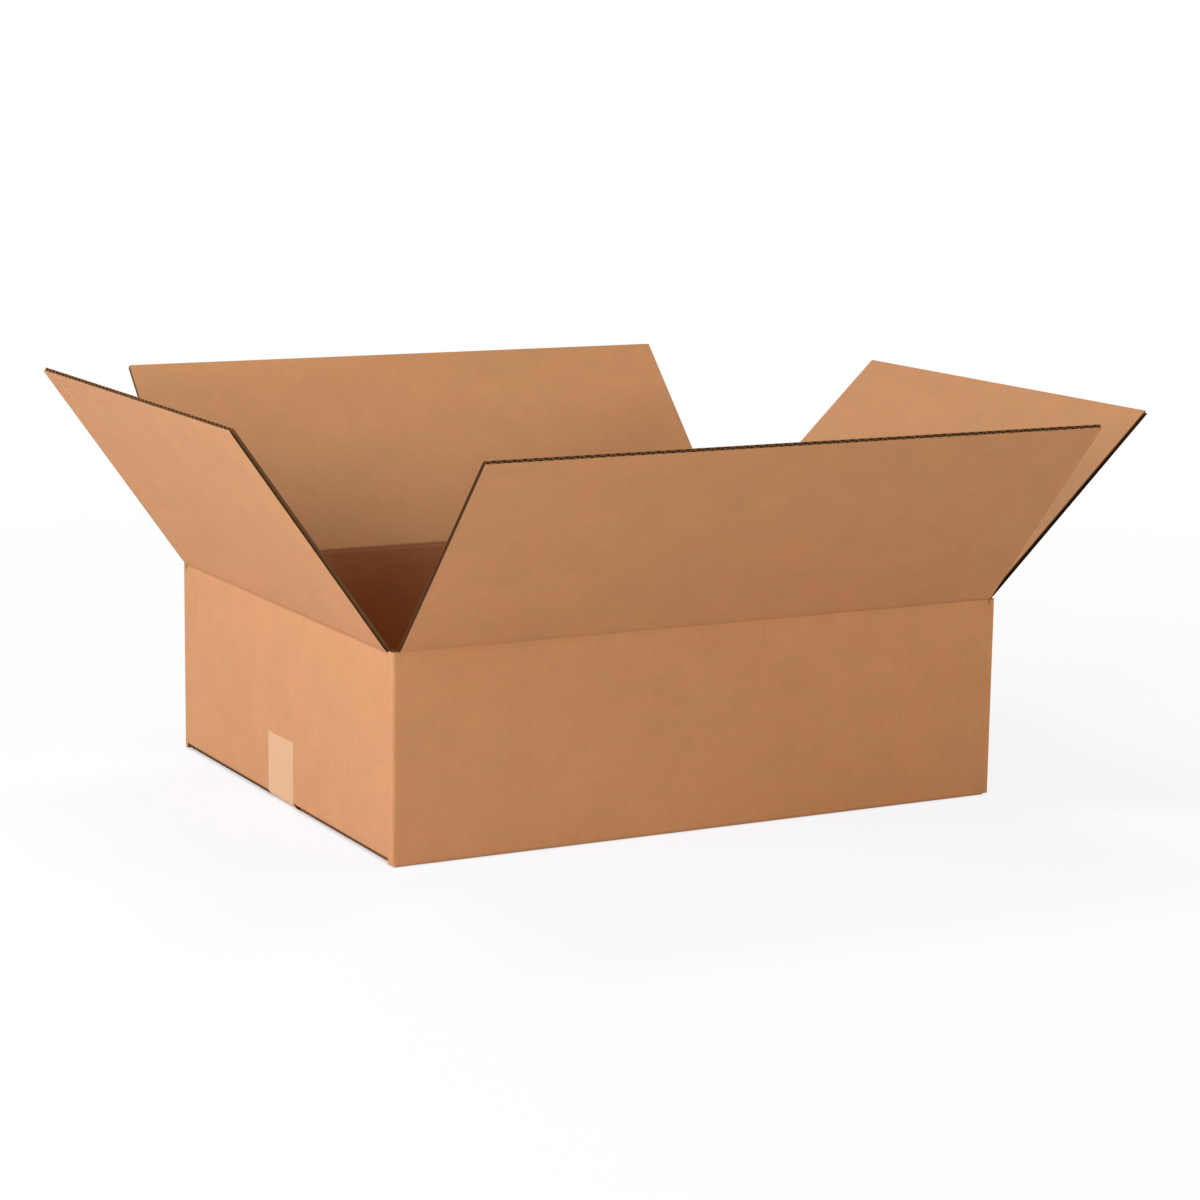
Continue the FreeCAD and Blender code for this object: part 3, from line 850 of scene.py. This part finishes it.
def make_lamps():
    for name, (place, size, power, colour) in LAMPS.items():
        light = bpy.data.lights.new(name, "AREA")
        light.shape = "RECTANGLE"
        light.size, light.size_y = size
        light.energy = power
        light.color = colour
        lamp = bpy.data.objects.new(name, light)
        bpy.context.scene.collection.objects.link(lamp)
        lamp.location = place
        lamp.rotation_mode = "QUATERNION"
        lamp.rotation_quaternion = (LAMP_AIM - Vector(place)).to_track_quat("-Z", "Y")


# The camera as fitted to the photo's edges: angles, millimetres, and a focal length in the
# photo's pixels.
PHOTO = 1200
AZIMUTH, ELEVATION, ROLL = math.radians(-28.25), math.radians(10.52), math.radians(0.80)
DISTANCE, AIM_SIDE, AIM_UP, FOCAL = 2519.64, 16.47, 140.54, 3147.0


def make_camera():
    flat = math.cos(ELEVATION)
    back = Vector((math.sin(AZIMUTH) * flat, -math.cos(AZIMUTH) * flat, math.sin(ELEVATION)))
    right = Vector((math.cos(AZIMUTH), math.sin(AZIMUTH), 0))
    up = back.cross(right)
    axes = (
        right * math.cos(ROLL) + up * math.sin(ROLL),
        up * math.cos(ROLL) - right * math.sin(ROLL),
        back,
    )
    spot = (right * AIM_SIDE + Vector((0, 0, AIM_UP)) + back * DISTANCE) * MM
    camera = bpy.data.cameras.new("camera")
    camera.sensor_width = 36.0
    camera.lens = FOCAL / PHOTO * camera.sensor_width
    camera.clip_start, camera.clip_end = 0.05, 100
    eye = bpy.data.objects.new("camera", camera)
    bpy.context.scene.collection.objects.link(eye)
    eye.matrix_world = Matrix.Translation(spot) @ Matrix(axes).transposed().to_4x4()
    bpy.context.scene.camera = eye
    bpy.context.scene.view_settings.view_transform = "Standard"


# liner, core and cut edge: two colours that mix in patches, fibre contrast, flute relief
# and roughness. The core's colours are painted shade: the brown of the flute channels in shadow.
PAPERS = (
    kraft("kraft_liner", (0.506, 0.240, 0.118, 1), (0.479, 0.241, 0.115, 1), 0.055, 0.010, 0.86),
    # painted shade: the core paper's colour darkened like the shaded inside of the flute channels
    kraft("kraft_core_shade", (0.128, 0.060, 0.026, 1), (0.120, 0.058, 0.026, 1), 0.10, 0.0, 0.95),
    kraft("kraft_cut", (0.400, 0.194, 0.091, 1), (0.376, 0.188, 0.090, 1), 0.10, 0.0, 0.95),
)

make_carton(PAPERS)
make_flaps(PAPERS)
make_tape(packing_tape())
make_floor()
make_world()
make_lamps()
make_camera()
